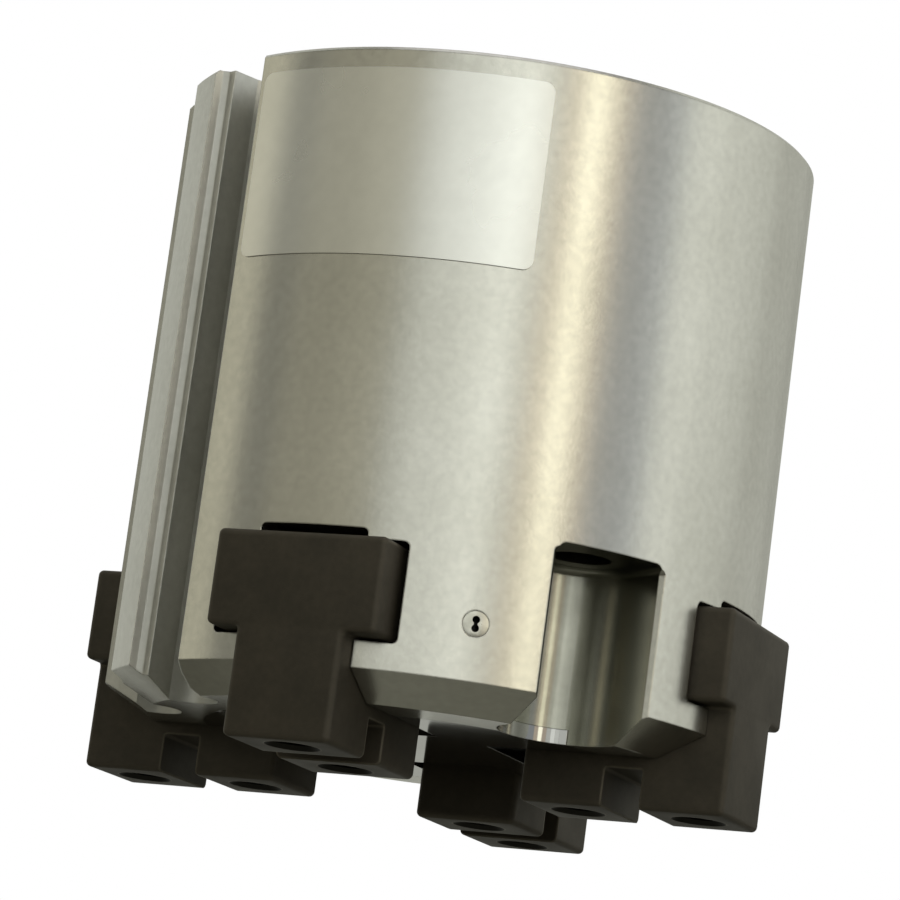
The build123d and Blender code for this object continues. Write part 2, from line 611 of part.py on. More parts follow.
def main():
    os.makedirs("parts", exist_ok=True)
    save("body", make_body())
    save("cap", make_cap())
    save("cap_gasket", make_cap_gasket())
    save("snap_ring", make_snap_ring())
    save("bumper", make_bumper())
    save("rod_seal", make_rod_seal())
    save("end_plate", make_end_plate())
    save("plate_screws", make_plate_screws())
    save("side_pin", make_side_pin())
    save("label_film", make_label())
    save("piston", make_piston())
    save("piston_seal", make_piston_seal())
    save("magnet_ring", make_magnet_ring())
    save("low_bumper", make_low_bumper())
    save("rod", make_rod())
    save("rod_gasket", make_rod_gasket())
    save("piston_screw", make_piston_screw())
    save("cam_screw", make_cam_screw())
    save("cam", make_cam())
    finger = make_finger()
    for number, angle in enumerate(FINGER_ANGLES, start=1):
        save(f"finger_{number}", Rot(0, 0, angle) * finger)


if __name__ == "__main__":
    main()
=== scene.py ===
"""Looks of a four-finger air gripper: anodised housing, dark steel fingers, bare label film.

Lengths in the classes are millimetres in the gripper's own frame: the mounting face is z = 0, the
fingers hang towards -Z, finger 1 points to -Y and finger 2 to +X. Meshes are handed to the scene in
metres. Angles round the gripper are counted from -Y towards +X, in degrees. Radii are measured from
its axis, and levels are heights z.
"""

import logging
from dataclasses import dataclass, field
from enum import Enum
from typing import Sequence

import bmesh
import bpy
import numpy as np
from mathutils import Matrix, Vector

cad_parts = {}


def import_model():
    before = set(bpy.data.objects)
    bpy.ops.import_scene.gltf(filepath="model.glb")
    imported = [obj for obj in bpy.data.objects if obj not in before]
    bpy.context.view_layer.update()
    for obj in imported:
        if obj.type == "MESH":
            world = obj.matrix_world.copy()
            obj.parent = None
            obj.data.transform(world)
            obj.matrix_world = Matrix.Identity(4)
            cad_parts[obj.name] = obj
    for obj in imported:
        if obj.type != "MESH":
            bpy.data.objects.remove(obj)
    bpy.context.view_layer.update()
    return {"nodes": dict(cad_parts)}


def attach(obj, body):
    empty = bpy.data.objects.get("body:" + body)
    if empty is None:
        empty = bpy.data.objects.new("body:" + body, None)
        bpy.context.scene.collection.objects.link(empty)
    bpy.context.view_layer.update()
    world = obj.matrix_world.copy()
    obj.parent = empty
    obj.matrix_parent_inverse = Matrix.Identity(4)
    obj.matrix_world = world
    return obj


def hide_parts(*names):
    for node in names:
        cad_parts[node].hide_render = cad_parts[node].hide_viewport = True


MM = 0.001
LOG = logging.getLogger("gripper")
# How far cutters run past the surfaces that they open, in millimetres
OVERRUN = 1.0


class Body(str, Enum):
    """Rigid bodies of the gripper that new pieces ride on."""

    HOUSING = "housing"
    FINGER_1 = "finger_1_body"
    FINGER_2 = "finger_2_body"
    FINGER_3 = "finger_3_body"
    FINGER_4 = "finger_4_body"


class Cut(str, Enum):
    """How one closed solid is combined with another."""

    AWAY = "DIFFERENCE"
    TOGETHER = "UNION"


class Tint(str, Enum):
    """Colour of a lamp, sRGB hex."""

    WHITE = "#ffffff"
    NEUTRAL = "#fcfff6"
    WARM = "#fffbe1"
    AMBER = "#ffebd2"
    COOL = "#f1f8ff"


# Shapes


@dataclass(frozen=True)
class Shape:
    """A mesh as arrays, in millimetres.

    Args:
        points: Corner points, one row each.
        faces: Corner numbers of each face, seen from outside anticlockwise.
    """

    points: np.ndarray
    faces: list[tuple[int, ...]]

    def mapped(self, matrix: np.ndarray | Sequence[Sequence[float]]) -> "Shape":
        """The same mesh with every point p moved to matrix times p."""
        return Shape(self.points @ np.asarray(matrix, float).T, self.faces)

    def turned(self, angle: float) -> "Shape":
        """The mesh, built with +X pointing outwards, turned round the axis to point to an angle."""
        a = np.radians(angle - 90.0)
        return self.mapped([[np.cos(a), -np.sin(a), 0.0], [np.sin(a), np.cos(a), 0.0], [0.0, 0.0, 1.0]])


# Ways to lay a bar: the columns are where its outline's two directions and its length point
UPRIGHT = np.eye(3)
OUTWARD = np.array([[0.0, 0.0, 1.0], [1.0, 0.0, 0.0], [0.0, 1.0, 0.0]])
ACROSS = np.array([[1.0, 0.0, 0.0], [0.0, 0.0, -1.0], [0.0, 1.0, 0.0]])


def arc(centre: tuple[float, float], radius: float, start: float, stop: float, steps: int) -> np.ndarray:
    """Points on a circle: centre plus radius times (cos a, sin a), a from start to stop in degrees."""
    a = np.radians(np.linspace(start, stop, steps + 1))
    return np.stack([centre[0] + radius * np.cos(a), centre[1] + radius * np.sin(a)], 1)


def rounded(corners: Sequence[tuple[float, float, float]], steps: int = 6) -> np.ndarray:
    """A closed outline with rounded corners.

    Each corner with radius r is replaced by the arc that touches both of its sides: the arc starts and
    stops at r / tan(half the corner's angle) from the corner. A point at the share s of an arc of angle t
    is the middle plus (sin((1 - s) t) first + sin(s t) last) / sin t, seen from the middle.

    Args:
        corners: (x, y, radius) of each corner, anticlockwise. A radius of 0 keeps it sharp.
        steps: Segments in each arc.

    Returns:
        The outline's points.
    """
    place = np.array([c[:2] for c in corners], float)
    count = len(corners)
    out = []
    for i, (_, _, radius) in enumerate(corners):
        here = place[i]
        if radius <= 0:
            out.append(here[None])
            continue
        back = place[i - 1] - here
        ahead = place[(i + 1) % count] - here
        back /= np.linalg.norm(back)
        ahead /= np.linalg.norm(ahead)
        half = np.arccos(np.clip(back @ ahead, -1, 1)) / 2
        middle = (back + ahead) / np.linalg.norm(back + ahead) * radius / np.sin(half) + here
        first = here + back * radius / np.tan(half) - middle
        last = here + ahead * radius / np.tan(half) - middle
        share = np.linspace(0, 1, steps + 1)[:, None]
        total = np.arccos(np.clip(first @ last / radius**2, -1, 1))
        turn = np.sin((1 - share) * total) * first + np.sin(share * total) * last
        out.append(middle + turn / np.sin(total))
    return np.concatenate(out)


def inset(outline: np.ndarray, distance: float) -> np.ndarray:
    """An anticlockwise outline moved inwards, each point along the bisector of its two sides."""
    ahead = np.roll(outline, -1, 0) - outline
    ahead /= np.linalg.norm(ahead, axis=1)[:, None]
    back = np.roll(ahead, 1, 0)
    normal_ahead = np.stack([-ahead[:, 1], ahead[:, 0]], 1)
    normal_back = np.stack([-back[:, 1], back[:, 0]], 1)
    bisector = normal_ahead + normal_back
    bisector /= np.maximum((bisector * normal_ahead).sum(1), 0.2)[:, None]
    return outline + bisector * distance


def bar(outline: np.ndarray, levels: Sequence[tuple[float, float]],
        axes: np.ndarray = UPRIGHT) -> Shape:
    """A closed bar: the outline carried along its length, one ring at each level, flat at both ends.

    Args:
        outline: Points of the cross-section, anticlockwise seen from the bar's far end.
        levels: (place along the length, inset of the outline there), from the near end to the far end.
        axes: Matrix that lays the bar in the gripper's frame.

    Returns:
        The bar.
    """
    count = len(outline)
    rings = [np.column_stack([inset(outline, d), np.full(count, place)]) for place, d in levels]
    start = np.arange(len(levels) - 1)[:, None] * count + np.arange(count)[None]
    ahead = np.arange(len(levels) - 1)[:, None] * count + (np.arange(count)[None] + 1) % count
    sides = np.stack([start, ahead, ahead + count, start + count], -1).reshape(-1, 4)
    faces = [tuple(f) for f in sides.tolist()]
    faces.append(tuple(range(count - 1, -1, -1)))
    faces.append(tuple(range((len(levels) - 1) * count, len(levels) * count)))
    return Shape(np.concatenate(rings), faces).mapped(axes)


def rounded_ends(near: float, far: float, near_radius: float, far_radius: float,
                 steps: int = 5) -> list[tuple[float, float]]:
    """Levels of a bar whose ends are rounded over.

    At angle a of a rounding of radius r the place is r - r sin a from the end, and the inset r - r cos a.

    Args:
        near: Place of the near end.
        far: Place of the far end.
        near_radius: Radius of the near end's rounding, 0 for a sharp end.
        far_radius: Radius of the far end's rounding.
        steps: Segments in each rounding.

    Returns:
        (place, inset) of each ring.
    """
    a = np.radians(np.linspace(0, 90, steps + 1))
    from_end, in_by = 1 - np.sin(a), 1 - np.cos(a)
    first = [(near, 0.0)]
    if near_radius > 0:
        first = list(zip(near + near_radius * from_end[::-1], near_radius * in_by[::-1]))
    return first + list(zip(far - far_radius * from_end, far_radius * in_by))


@dataclass(frozen=True)
class Thread:
    """Ridges of a tapped hole. They are drawn as rings, because the helix is too fine to tell from them.

    Args:
        pitch: From one crest to the next.
        depth: From crest to root.
        turns: How many ridges there are.
    """

    pitch: float
    depth: float
    turns: int

    def levels(self, start: float, base: float = 0.0) -> list[tuple[float, float]]:
        """(place, inset) from crest to root to crest in each pitch, the crests at the base inset."""
        half_turns = np.arange(2 * self.turns + 1)
        places = start + half_turns * self.pitch / 2
        insets = base - self.depth * (half_turns % 2)
        return list(zip(places.tolist(), insets.tolist()))


def lathe(profile: Sequence[tuple[float, float]], segments: int) -> Shape:
    """A closed profile turned round the axis: its point (r, z) goes to (r cos a, r sin a, z)."""
    r, z = np.array(profile, float).T
    a = np.linspace(0, 2 * np.pi, segments, endpoint=False)
    points = np.stack([np.outer(np.cos(a), r), np.outer(np.sin(a), r), np.tile(z, (segments, 1))], -1)
    count = len(r)
    i = np.arange(segments)[:, None]
    j = np.arange(count)[None]
    i_next = (i + 1) % segments
    j_next = (j + 1) % count
    grid = np.broadcast_arrays(i * count + j, i_next * count + j,
                               i_next * count + j_next, i * count + j_next)
    faces = np.stack(grid, -1).reshape(-1, 4)
    return Shape(points.reshape(-1, 3), [tuple(f) for f in faces.tolist()])


def circle(radius: float, x: float = 0.0, y: float = 0.0, segments: int = 64) -> np.ndarray:
    """Outline of a circle, anticlockwise."""
    return arc((x, y), radius, 0, 360, segments)[:-1]


@dataclass(frozen=True)
class Step:
    """One closed solid that is cut out of a piece or added to it.

    Args:
        shape: The solid.
        cut: What is done with it.
        finish: Finish of the faces that it leaves, or None for the piece's own.
    """

    shape: Shape
    cut: Cut = Cut.AWAY
    finish: "Finish | None" = None


# From shapes to scene objects


def scene_object(name: str, shape: Shape, finish: "Finish | None" = None) -> bpy.types.Object:
    """A new object whose mesh is the shape, still in millimetres, with its faces pointing outwards."""
    mesh = bpy.data.meshes.new(name)
    mesh.from_pydata(shape.points.tolist(), [], shape.faces)
    if finish:
        mesh.materials.append(finish.material())
    work = bmesh.new()
    work.from_mesh(mesh)
    bmesh.ops.recalc_face_normals(work, faces=work.faces)
    work.to_mesh(mesh)
    work.free()
    made = bpy.data.objects.new(name, mesh)
    bpy.context.scene.collection.objects.link(made)
    return made


def combined(base: bpy.types.Object, steps: Sequence[Step]) -> bpy.types.Object:
    """Cut shapes out of an object, or add them to it, one after the other, and keep the result as its mesh.

    Args:
        base: Object with a closed mesh in millimetres.
        steps: What to do with each closed shape, in order.

    Returns:
        The same object.
    """
    tools = []
    for number, step in enumerate(steps):
        tool = scene_object(f"{base.name}_tool_{number}", step.shape, step.finish)
        boolean = base.modifiers.new(f"step_{number}", "BOOLEAN")
        boolean.operation = step.cut.value
        boolean.solver = "EXACT"
        boolean.material_mode = "TRANSFER"
        boolean.object = tool
        tools.append(tool)
    graph = bpy.context.evaluated_depsgraph_get()
    result = bpy.data.meshes.new_from_object(base.evaluated_get(graph))
    base.modifiers.clear()
    old = base.data
    base.data = result
    result.name = base.name
    bpy.data.meshes.remove(old)
    for tool in tools:
        mesh = tool.data
        bpy.data.objects.remove(tool)
        bpy.data.meshes.remove(mesh)
    return base


def dressed(piece: bpy.types.Object, body: Body, nodes: Sequence[str],
            sharp: float = 22.0) -> bpy.types.Object:
    """Finish a new piece: metres, smooth faces with sharp edges, its body and the nodes it stands for.

    Args:
        piece: Object with its mesh in millimetres.
        body: Body it rides on.
        nodes: Nodes that it replaces.
        sharp: Edges that turn by more than this many degrees stay sharp.

    Returns:
        The same object.
    """
    mesh = piece.data
    mesh.transform(Matrix.Scale(MM, 4))
    mesh.shade_smooth()
    mesh.set_sharp_from_angle(angle=np.radians(sharp))
    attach(piece, body.value)
    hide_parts(*nodes)
    LOG.info("%s: %d faces on %s", piece.name, len(mesh.polygons), body.value)
    return piece


# Materials


def colour(text: str) -> tuple[float, float, float, float]:
    """sRGB hex to linear RGBA: c / 12.92 up to 0.04045, above it ((c + 0.055) / 1.055) to the power 2.4."""
    c = np.array([int(text[i:i + 2], 16) for i in (1, 3, 5)]) / 255
    linear = np.where(c <= 0.04045, c / 12.92, ((c + 0.055) / 1.055) ** 2.4)
    return (*[float(v) for v in linear], 1.0)


def add_node(tree: bpy.types.NodeTree, kind: str, settings: dict | None = None,
             links: dict | None = None) -> bpy.types.Node:
    """Add one node.

    Args:
        tree: Node tree of the material or world.
        kind: The node's type name.
        settings: Attribute or input name to value. An input's number is written "#2".
        links: Input name to the output socket that feeds it.

    Returns:
        The new node.
    """
    made = tree.nodes.new(kind)

    def socket(name: str) -> bpy.types.NodeSocket:
        """The input called name, or numbered by it."""
        return made.inputs[int(name[1:])] if name.startswith("#") else made.inputs[name]

    for name, value in (settings or {}).items():
        if name[0].islower() and hasattr(made, name):
            setattr(made, name, value)
        else:
            socket(name).default_value = value
    for name, source in (links or {}).items():
        tree.links.new(source, socket(name))
    return made


def ramp(tree: bpy.types.NodeTree, source: bpy.types.NodeSocket,
         stops: Sequence[tuple[float, tuple[float, float, float, float]]]) -> bpy.types.NodeSocket:
    """A colour ramp through the given stops; returns its colour output."""
    made = add_node(tree, "ShaderNodeValToRGB", links={"Fac": source})
    elements = made.color_ramp.elements
    while len(elements) < len(stops):
        elements.new(1.0)
    for element, (place, value) in zip(elements, stops):
        element.position = place
        element.color = value
    return made.outputs["Color"]


@dataclass(frozen=True)
class Finish:
    """A material and how its surface was made.

    Args:
        name: Material name.
        base: Main colour, sRGB hex.
        worn: Second colour that the first wanders towards, sRGB hex.
        metallic: 1 for bare metal, 0 for plastic, rubber and oxide skins.
        roughness: Middle roughness.
        spread: How far the roughness wanders either side.
        patch_mm: Size of the patches that the colour wanders in.
        grain_mm: Size of the surface grain. Real grain is about 0.03 mm, too fine to show, so it is coarser.
        grain_depth_mm: Height of the grain.
        edge_mm: Radius that sharp edges are broken to.
        edge: Paler colour painted along edges as a highlight, partly rub wear, sRGB hex, or empty for none.
        mottle: Share that the brightness wanders by in small blotches, 0 for none.
        mottle_mm: Size of the blotches.
    """

    name: str
    base: str
    worn: str
    metallic: float
    roughness: float
    spread: float = 0.05
    patch_mm: float = 6.0
    grain_mm: float = 0.12
    grain_depth_mm: float = 0.002
    edge_mm: float = 0.1
    edge: str = ""
    mottle: float = 0.0
    mottle_mm: float = 0.6

    def material(self) -> bpy.types.Material:
        """Build the material, or return it if it is there already."""
        found = bpy.data.materials.get(self.name)
        if found:
            return found
        made = bpy.data.materials.new(self.name)
        made.use_nodes = True
        tree = made.node_tree
        shader = tree.nodes["Principled BSDF"]
        shader.inputs["Metallic"].default_value = self.metallic
        place = add_node(tree, "ShaderNodeTexCoord").outputs["Object"]
        patches = add_node(tree, "ShaderNodeTexNoise",
                           {"Scale": 1 / (self.patch_mm * MM), "Detail": 4.0}, {"Vector": place})
        tint = ramp(tree, patches.outputs["Fac"], [(0.35, colour(self.base)), (0.7, colour(self.worn))])
        grain = add_node(tree, "ShaderNodeTexNoise",
                         {"Scale": 1 / (self.grain_mm * MM), "Detail": 3.0}, {"Vector": place})
        rough = add_node(tree, "ShaderNodeMapRange",
                         {"To Min": self.roughness - self.spread, "To Max": self.roughness + self.spread},
                         {"Value": patches.outputs["Fac"]})
        edges = add_node(tree, "ShaderNodeBevel", {"samples": 4, "Radius": self.edge_mm * MM})
        bump = add_node(tree, "ShaderNodeBump", {"Distance": self.grain_depth_mm * MM},
                        {"Height": grain.outputs["Fac"], "Normal": edges.outputs["Normal"]})
        tint = self.edge_highlighted(tree, self.mottled(tree, tint, place), edges.outputs["Normal"])
        tree.links.new(tint, shader.inputs["Base Color"])
        tree.links.new(rough.outputs["Result"], shader.inputs["Roughness"])
        tree.links.new(bump.outputs["Normal"], shader.inputs["Normal"])
        return made

    def mottled(self, tree: bpy.types.NodeTree, tint: bpy.types.NodeSocket,
                place: bpy.types.NodeSocket) -> bpy.types.NodeSocket:
        """Colour times a noise that wanders between 1 minus and 1 plus the mottle."""
        if not self.mottle:
            return tint
        blotches = add_node(tree, "ShaderNodeTexNoise",
                            {"Scale": 1 / (self.mottle_mm * MM), "Detail": 3.0}, {"Vector": place})
        share = add_node(tree, "ShaderNodeMapRange",
                         {"From Min": 0.3, "From Max": 0.7,
                          "To Min": 1 - self.mottle, "To Max": 1 + self.mottle},
                         {"Value": blotches.outputs["Fac"]})
        mixed = add_node(tree, "ShaderNodeMix",
                         {"data_type": "RGBA", "blend_type": "MULTIPLY", "#0": 1.0},
                         {"#6": tint, "#7": share.outputs["Result"]})
        return mixed.outputs[2]

    def edge_highlighted(self, tree: bpy.types.NodeTree, tint: bpy.types.NodeSocket,
              softened: bpy.types.NodeSocket) -> bpy.types.NodeSocket:
        """Colour with a painted highlight along the edges, partly rub wear: the more the softened normal
        leaves the true one, the paler the edge.
        """
        if not self.edge:
            return tint
        true = add_node(tree, "ShaderNodeNewGeometry").outputs["Normal"]
        alike = add_node(tree, "ShaderNodeVectorMath", {"operation": "DOT_PRODUCT"},
                         {"#0": softened, "#1": true})
        # Paler colour painted where the bevel softens the normal: a painted edge highlight
        highlight_share = add_node(tree, "ShaderNodeMapRange", {"From Min": 0.999, "From Max": 0.95},
                        {"Value": alike.outputs["Value"]})
        mixed = add_node(tree, "ShaderNodeMix", {"data_type": "RGBA", "#7": colour(self.edge)},
                         {"#0": highlight_share.outputs["Result"], "#6": tint})
        return mixed.outputs[2]


# Clear-anodised aluminium, turned and satin-etched: faintly olive, with a fine blotchy grain
ANODISED = Finish("clear_anodised_aluminium", "#dddcd7", "#d5d4ce", metallic=1.0, roughness=0.25, spread=0.03,
                  patch_mm=9.0, grain_mm=0.14, grain_depth_mm=0.003, edge_mm=0.12, mottle=0.05, mottle_mm=0.5)
# The same alloy as the extrusion die leaves it in the slots: duller and darker than the turned outside
EXTRUDED = Finish("extruded_slot_aluminium", "#dadad8", "#d0d0cd", metallic=1.0, roughness=0.45, spread=0.04,
                  patch_mm=5.0, grain_mm=0.14, grain_depth_mm=0.004, edge_mm=0.08, mottle=0.05, mottle_mm=0.5)
# Milled counterbores, anodised after milling: smoother, so they mirror the dark room below; their colour is
# painted darker than the housing's as shade in the recesses
COUNTERBORE_SHADE = Finish("counterbore_painted_shade", "#b2b2aa", "#a6a69e", metallic=1.0, roughness=0.2,
                spread=0.03, patch_mm=3.0, grain_mm=0.1, grain_depth_mm=0.001, edge_mm=0.06, mottle=0.04,
                mottle_mm=0.4)
# Heat-treated carbon steel with a dark brown skin: nearly matte, with a paler colour painted along its edges
# as a highlight, partly rub wear
FINGER_STEEL = Finish("heat_treated_steel", "#504a41", "#47423a", metallic=0.35, roughness=0.55, spread=0.06,
                      patch_mm=2.5, grain_mm=0.1, grain_depth_mm=0.004, edge_mm=0.2, edge="#8a8377",
                      mottle=0.08, mottle_mm=0.4)
# Tapped holes in the fingers: near-black colour painted as the shade inside the holes
HOLE_SHADE = Finish("tapped_hole_painted_shade", "#24211d", "#1d1b18", metallic=0.35, roughness=0.6, patch_mm=1.0,
                grain_mm=0.1, edge_mm=0.03)
# Polyester label film with a silver backing: soft even sheen
LABEL_FILM = Finish("silver_label_film", "#f6f6f4", "#f1f1ee", metallic=1.0, roughness=0.28, spread=0.02,
                    patch_mm=12.0, grain_mm=0.2, grain_depth_mm=0.001, edge_mm=0.03, mottle=0.02,
                    mottle_mm=0.8)
# Bright-rolled stainless plate: nearly a mirror, so it doubles the fingers that pass through it
BRIGHT = Finish("bright_rolled_stainless", "#b9b9ba", "#aeaeaf", metallic=1.0, roughness=0.07, spread=0.02,
                patch_mm=4.0, grain_mm=0.3, grain_depth_mm=0.0005, edge_mm=0.05)
# Fine-ground stainless screws: brighter and smoother than the housing
STAINLESS = Finish("ground_stainless", "#c4c4c6", "#b8b8ba", metallic=1.0, roughness=0.24, patch_mm=3.0,
                   grain_mm=0.08, grain_depth_mm=0.001, edge_mm=0.06)
# Ground bearing steel: bright and hard
HARD_STEEL = Finish("ground_steel", "#a9a9ac", "#9b9b9f", metallic=1.0, roughness=0.28, patch_mm=3.0,
                    grain_mm=0.1, edge_mm=0.08)
# Drawn steel pin, ground flush with the housing: a little duller than the aluminium round it
PIN_STEEL = Finish("flush_ground_pin", "#d9d8d2", "#c4c3bb", metallic=1.0, roughness=0.29, spread=0.04,
                   patch_mm=0.5, grain_mm=0.06, edge_mm=0.03)
# Bottom of the pin's slot: near-black colour painted as the shade inside the slot
PIN_SLOT_SHADE = Finish("pin_slot_painted_shade", "#191713", "#12110e", metallic=0.3, roughness=0.5, patch_mm=0.3,
               grain_mm=0.06, edge_mm=0.03)
# Black-oxide spring and screw steel: dark, slightly oily, with a paler colour painted along its edges as a
# highlight
BLACK_OXIDE = Finish("black_oxide_steel", "#2b2b2d", "#222224", metallic=0.6, roughness=0.38, patch_mm=1.5,
                     grain_mm=0.08, edge_mm=0.06, edge="#5a5a5c")
# Turned aluminium, bare: bluer than the anodised housing
TURNED = Finish("turned_aluminium", "#d2d2d4", "#c6c6c9", metallic=1.0, roughness=0.3, patch_mm=4.0,
                grain_mm=0.1, edge_mm=0.08)
# Moulded nitrile rubber: black and matte
NITRILE = Finish("moulded_nitrile", "#1c1c1c", "#242423", metallic=0.0, roughness=0.62, patch_mm=2.0,
                 grain_mm=0.1, edge_mm=0.05)
# Cast urethane: amber, a little glossy
URETHANE = Finish("cast_urethane", "#9a6a2c", "#8c5e26", metallic=0.0, roughness=0.4, patch_mm=2.0,
                  grain_mm=0.1, edge_mm=0.05)
# Sintered magnet in a plastic binder: dark grey and dry
MAGNET = Finish("bonded_magnet", "#39393c", "#303033", metallic=0.1, roughness=0.6, patch_mm=1.5,
                grain_mm=0.08, edge_mm=0.05)


# The gripper


@dataclass
class SidePin:
    """Pin pressed flush into the housing's side, with a narrow slot in its end."""

    angle: float = 29.7
    z: float = -30.7
    radius: float = 0.7
    inner_end: float = 14.97
    outer_end: float = 17.98
    end_corner: float = 0.02
    slot_length: float = 0.86
    slot_width: float = 0.2
    slot_end_radius: float = 0.2
    slot_floor: float = 17.2

    def build(self) -> bpy.types.Object:
        """Carry the pin's circle outwards and cut the slot, whose ends are round holes."""
        ends = rounded_ends(self.inner_end, self.outer_end, 0.0, self.end_corner, steps=3)
        pin = bar(circle(self.radius, 0.0, self.z, 48), ends, OUTWARD)
        made = scene_object("slotted_pin", pin.turned(self.angle), PIN_STEEL)
        half, w = self.slot_length / 2 - self.slot_end_radius, self.slot_width / 2
        low, high = self.z - half, self.z + half
        outlines = [np.array([(-w, low), (w, low), (w, high), (-w, high)])]
        outlines += [circle(self.slot_end_radius, 0.0, z, 20) for z in (low, high)]
        depth = [(self.slot_floor, 0.0), (self.outer_end + OVERRUN, 0.0)]
        # The slot's faces get near-black painted shade
        combined(made, [Step(bar(outline, depth, OUTWARD).turned(self.angle), finish=PIN_SLOT_SHADE)
                        for outline in outlines])
        return dressed(made, Body.HOUSING, ["side_pin"])


@dataclass
class Housing:
    """The turned and milled shell: outside, bores, guides, switch slots, counterbores and ports.

    Args:
        pin: The pin that its side is drilled for.
    """

    pin: SidePin
    radius: float = 18.0
    length: float = 35.2
    chamfer_axial: float = 1.45
    chamfer_radial: float = 2.6
    top_break: float = 0.2
    segments: int = 360

    # Bores from the mounting face down: pilot, cylinder with its ring's groove, rod hole with its seal's
    # groove in the wall, chamber, and the end plate's recess
    pilot_radius: float = 11.0
    pilot_floor: float = -0.7
    bore_radius: float = 10.0
    ring_radius: float = 10.5
    ring_levels: tuple[float, float] = (-1.4, -2.5)
    wall_levels: tuple[float, float] = (-16.6, -20.6)
    rod_radius: float = 4.05
    seal_radius: float = 5.7
    seal_levels: tuple[float, float] = (-17.6, -19.6)
    chamber_radius: float = 9.5
    plate_radius: float = 12.2
    plate_top: float = -34.4

    # Guides: widths of the T, and the levels of its roof and of the tee's top and lip
    guide_start: float = 6.5
    guide_tee: float = 10.6
    guide_stem: float = 6.2
    guide_corner: float = 0.3
    guide_levels: tuple[float, float, float] = (-26.35, -26.85, -32.3)

    # Mounting screws: hole with a broken mouth, and an open-sided counterbore whose upright edges are broken
    mount_angle: float = 52.6
    mount_circle: float = 14.5
    mount_hole: float = 1.7
    mount_mouth: float = 0.5
    mount_bore: float = 3.25
    mount_ceiling: float = -25.6
    mount_corner: float = 0.45
    flare_edge: float = 0.3
    flare_reach: float = 2.0
    flare_ceiling: float = -25.85
    flare_corner: float = 0.3

    # Switch slots: round channel, and corners of rib and lip as (outwards, along the side, rounding)
    slot_angle: float = -46.4
    slot_radius: float = 1.65
    slot_centre: float = 14.85
    slot_side: float = 3.15
    rib_corners: tuple[tuple[float, float, float], ...] = (
        (19.0, 1.67, 0.0), (17.5, 1.67, 0.06), (17.145, 1.837, 0.12), (17.0, 2.3, 0.06))
    rib_foot: float = 15.4
    lip_corners: tuple[tuple[float, float, float], ...] = (
        (16.2, 5.7, 0.3), (16.74, 6.62, 0.06), (19.0, 7.62, 0.0))
    lip_foot: float = 0.46

    # Ports for M5 x 0.8 air fittings: spot face, tapped hole and passage to the cylinder
    port_angle: float = 135.0
    port_levels: tuple[float, float] = (-6.0, -16.1)
    port_face: float = 17.6
    port_floor: float = 13.0
    port_spot: float = 4.0
    port_tap: float = 2.1
    port_passage: float = 0.6
    port_break: float = 0.35
    port_thread: Thread = Thread(pitch=0.8, depth=0.3, turns=5)

    # Holes for the end plate's screws, and the room round the pin
    screw_angles: tuple[float, float] = (135.0, -45.0)
    screw_circle: float = 10.85
    screw_radius: float = 0.82
    screw_top: float = -31.0
    pin_room: float = 0.008

    @property
    def below(self) -> float:
        """Level where cuts that are open below start."""
        return -self.length - OVERRUN

    @property
    def beyond(self) -> float:
        """Radius where cuts that are open to the side end."""
        return self.radius + 2 * OVERRUN

    def profile(self) -> list[tuple[float, float]]:
        """Half of the turned section as (radius, z), from the mounting face down the bores and up outside."""
        ring_top, ring_bottom = self.ring_levels
        wall_top, wall_bottom = self.wall_levels
        seal_top, seal_bottom = self.seal_levels
        cylinder = [
            (self.pilot_radius, 0.0), (self.pilot_radius, self.pilot_floor),
            (self.bore_radius, self.pilot_floor), (self.bore_radius, ring_top),
            (self.ring_radius, ring_top), (self.ring_radius, ring_bottom),
            (self.bore_radius, ring_bottom), (self.bore_radius, wall_top),
        ]
        rod_hole = [
            (self.rod_radius, wall_top), (self.rod_radius, seal_top),
            (self.seal_radius, seal_top), (self.seal_radius, seal_bottom),
            (self.rod_radius, seal_bottom), (self.rod_radius, wall_bottom),
        ]
        chamber = [
            (self.chamber_radius, wall_bottom), (self.chamber_radius, self.plate_top),
            (self.plate_radius, self.plate_top), (self.plate_radius, -self.length),
        ]
        outside = [
            (self.radius - self.chamfer_radial, -self.length),
            (self.radius, -self.length + self.chamfer_axial),
            (self.radius, -self.top_break),
            (self.radius - self.top_break, 0.0),
        ]
        return cylinder + rod_hole + chamber + outside

    def guide(self) -> Shape:
        """T-shaped guide for one finger, carried outwards along +X from inside the chamber."""
        tee, stem, r = self.guide_tee / 2, self.guide_stem / 2, self.guide_corner
        roof, top, lip = self.guide_levels
        outline = rounded([
            (-stem, self.below, 0), (stem, self.below, 0), (stem, lip, 0), (tee, lip, r),
            (tee, top, r), (stem, top, 0), (stem, roof, r), (-stem, roof, r),
            (-stem, top, 0), (-tee, top, r), (-tee, lip, r), (-stem, lip, 0),
        ])
        return bar(outline, [(self.guide_start, 0.0), (self.beyond, 0.0)], OUTWARD)

    def mounting(self) -> list[Shape]:
        """Open-sided counterbore, a half circle with straight walls out to the side, and its screw's hole."""
        r, x, m = self.mount_bore, self.mount_circle, self.mount_mouth
        walls = np.array([(self.beyond, -r), (self.beyond, r)])
        pocket = np.concatenate([arc((x, 0.0), r, 90, 270, 48), walls])
        hole = [(self.mount_ceiling - OVERRUN, 0.0), (-m, 0.0), (0.0, -m), (m, -2 * m)]
        return [
            bar(pocket, rounded_ends(self.below, self.mount_ceiling, 0.0, self.mount_corner)),
            bar(circle(self.mount_hole, x), hole),
        ]

    def mount_flare(self) -> Shape:
        """Broken upright edges of the counterbore: a wedge that widens 1 mm for each mm outwards."""
        r, reach = self.mount_bore, self.flare_reach
        near = np.sqrt(self.radius**2 - r**2) - self.flare_edge
        wedge = np.array([(near, -r), (near + reach, -r - reach), (near + reach, r + reach), (near, r)])
        return bar(wedge, rounded_ends(self.below, self.flare_ceiling, 0.0, self.flare_corner))

